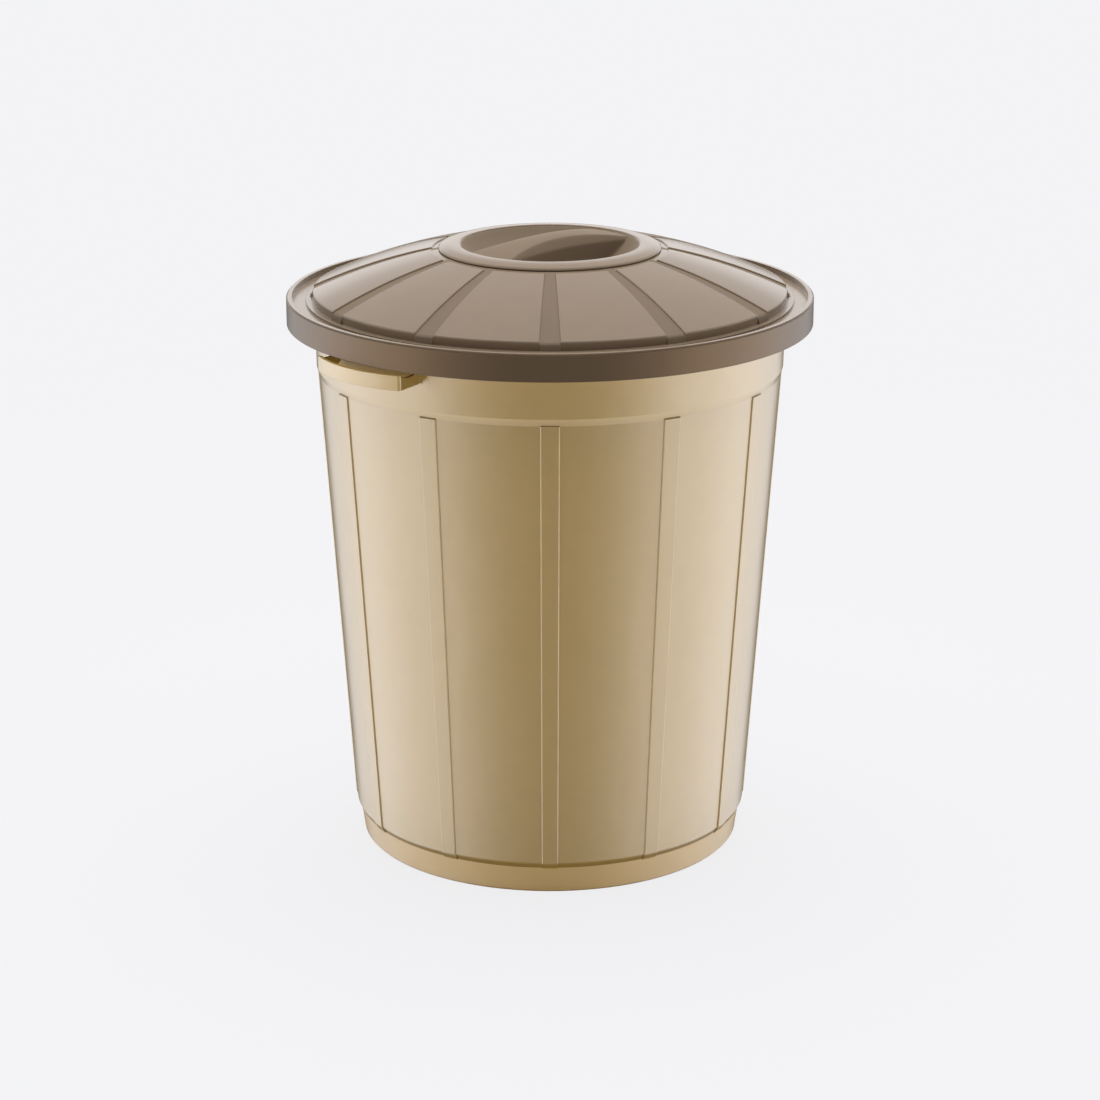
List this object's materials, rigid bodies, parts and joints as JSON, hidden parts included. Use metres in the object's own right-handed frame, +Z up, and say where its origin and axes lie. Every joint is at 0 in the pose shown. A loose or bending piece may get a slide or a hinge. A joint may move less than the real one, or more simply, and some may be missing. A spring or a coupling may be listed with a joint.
{
  "type": "trash can",
  "caption": "Round tapered plastic dustbin with raised upright ribs and open side grips, under a loose domed lid with raised panels and a recessed ring handle.",
  "frame": {"origin": "on the floor, under the middle of the bin", "axes": "+Z up along the bin's axis; the side grips and the bar of the lid's handle lie along X"},
  "size_m": [0.484, 0.47, 0.5575],
  "materials": {
    "bin_plastic": "satin-gloss moulded beige polypropylene",
    "lid_plastic": "glossy moulded taupe polypropylene with fine-grained strips",
    "handle_plastic": "satin-gloss moulded taupe polypropylene"
  },
  "bodies": {
    "bin": {"bin_body": "bin_plastic"},
    "lid": {"lid_shell": "lid_plastic", "lid_handle": "handle_plastic"}
  },
  "joints": [
    {"name": "lid_lift", "type": "slide", "parent": "bin", "child": "lid", "axis": [0, 0, 1], "range_m": [0, 0.3]}
  ]
}
